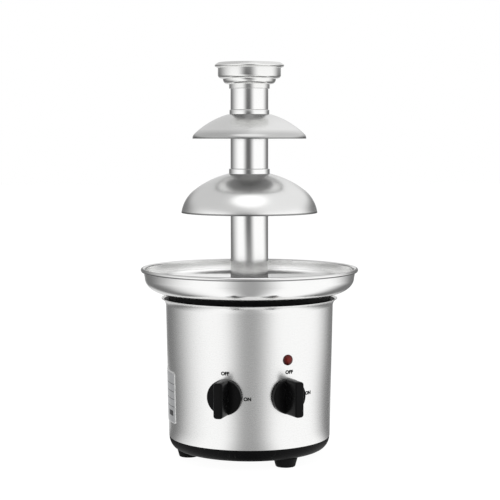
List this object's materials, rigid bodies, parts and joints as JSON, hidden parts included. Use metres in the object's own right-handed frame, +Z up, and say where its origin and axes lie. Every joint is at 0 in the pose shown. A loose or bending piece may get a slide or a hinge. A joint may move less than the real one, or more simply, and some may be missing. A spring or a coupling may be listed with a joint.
{
  "type": "chocolate fountain",
  "caption": "Tabletop chocolate fountain: steel drum base with knobs, heated bowl, domed tiers on a sectional tube, cup crown, geared auger.",
  "frame": {"origin": "on the floor under the tower, in the centre of the bowl's rim seen from above", "axes": "+Z up along the tower, the knobs face -Y, +X to the right seen from the front"},
  "size_m": [0.215, 0.215, 0.39],
  "materials": {
    "drum_steel": "satin, brushed round the drum",
    "bowl_steel": "satin",
    "tower_steel": "polished to satin",
    "crown_steel": "turned",
    "plated_steel": "zinc plated or bare",
    "core_iron": "laminated",
    "heater_aluminium": "cast",
    "element_sheath": "heat-tinted",
    "black_plastic": "matte",
    "knob_plastic": "semi-gloss",
    "foot_rubber": "matte",
    "lamp_red": "clear dark red",
    "label_foil": "printed foil, bare",
    "food_plastic": "natural white",
    "gear_plastic": "natural acetal",
    "bearing_bronze": "sintered",
    "coil_copper": "enamelled wire",
    "silicone": "food grade",
    "white_ceramic": "ceramic"
  },
  "bodies": {
    "base": {"foot_pads": "foot_rubber", "foot_screws": "plated_steel", "base_tray": "black_plastic", "drum_shell": "drum_steel", "insulating_ring": "black_plastic", "bowl": "bowl_steel", "tower_pegs": "bowl_steel", "bowl_studs": "plated_steel", "weld_nuts": "plated_steel", "tie_rods": "plated_steel", "tie_rod_nuts": "plated_steel", "heater_plate": "heater_aluminium", "heating_element": "element_sheath", "heater_clamp": "plated_steel", "thermostat": "white_ceramic", "thermal_fuse": "white_ceramic", "heat_shield": "plated_steel", "stud_spacers": "plated_steel", "stud_nuts": "plated_steel", "motor_bracket": "plated_steel", "gearbox_plate": "plated_steel", "gearbox_pillars": "plated_steel", "idler_pin": "plated_steel", "shaft_bush": "bearing_bronze", "foot_bush": "bearing_bronze", "shaft_seal": "silicone", "motor_can": "plated_steel", "motor_end_cap": "plated_steel", "motor_screws": "plated_steel", "stator_core": "core_iron", "stator_coils": "coil_copper", "motor_switch": "black_plastic", "heat_switch": "black_plastic", "switch_nuts": "plated_steel", "lamp_lens": "lamp_red", "lamp_holder": "black_plastic", "cord_gland": "black_plastic", "gland_nut": "black_plastic", "terminal_block": "white_ceramic", "rating_plate": "label_foil"},
    "drive": {"drive_shaft": "plated_steel", "output_gear": "gear_plastic", "gear_pin": "plated_steel"},
    "idler": {"idler_gear": "gear_plastic"},
    "rotor": {"rotor_shaft": "plated_steel", "rotor_core": "core_iron", "motor_pinion": "bearing_bronze", "cooling_fan": "black_plastic"},
    "auger": {"auger": "food_plastic"},
    "lower_section": {"lower_tube": "tower_steel", "lower_dome": "tower_steel"},
    "middle_section": {"middle_tube": "tower_steel", "upper_dome": "tower_steel"},
    "top_section": {"upper_tube": "tower_steel"},
    "crown": {"crown_cup": "crown_steel"},
    "motor_control": {"motor_knob": "knob_plastic", "motor_spindle": "plated_steel"},
    "heat_control": {"heat_knob": "knob_plastic", "heat_spindle": "plated_steel"}
  },
  "joints": [
    {"name": "drive_turn", "type": "hinge", "parent": "base", "child": "drive", "pos_m": [0, 0, 0.14], "axis": [0, 0, 1], "continuous": true},
    {"name": "idler_turn", "type": "hinge", "parent": "base", "child": "idler", "pos_m": [-0.02771, 0.016, 0.128], "axis": [0, 0, 1], "continuous": true},
    {"name": "rotor_turn", "type": "hinge", "parent": "base", "child": "rotor", "pos_m": [-0.0081, 0.03245, 0.095], "axis": [0, 0, 1], "continuous": true},
    {"name": "auger_lift", "type": "slide", "parent": "drive", "child": "auger", "axis": [0, 0, 1], "range_m": [0, 0.21]},
    {"name": "tower_lift", "type": "slide", "parent": "base", "child": "lower_section", "axis": [0, 0, 1], "range_m": [0, 0.215]},
    {"name": "middle_lift", "type": "slide", "parent": "lower_section", "child": "middle_section", "axis": [0, 0, 1], "range_m": [0, 0.1]},
    {"name": "top_lift", "type": "slide", "parent": "middle_section", "child": "top_section", "axis": [0, 0, 1], "range_m": [0, 0.04]},
    {"name": "crown_lift", "type": "slide", "parent": "top_section", "child": "crown", "axis": [0, 0, 1], "range_m": [0, 0.02]},
    {"name": "motor_knob_turn", "type": "hinge", "parent": "base", "child": "motor_control", "pos_m": [-0.02977, -0.07636, 0.0725], "axis": [-0.3633, -0.9317, 0], "range_deg": [-90, 0]},
    {"name": "heat_knob_turn", "type": "hinge", "parent": "base", "child": "heat_control", "pos_m": [0.02977, -0.07636, 0.0725], "axis": [0.3633, -0.9317, 0], "range_deg": [-90, 0]}
  ],
  "couplings": [
    {"joint": "idler_turn", "follows": "drive_turn", "ratio": -4},
    {"joint": "rotor_turn", "follows": "drive_turn", "ratio": 12}
  ]
}
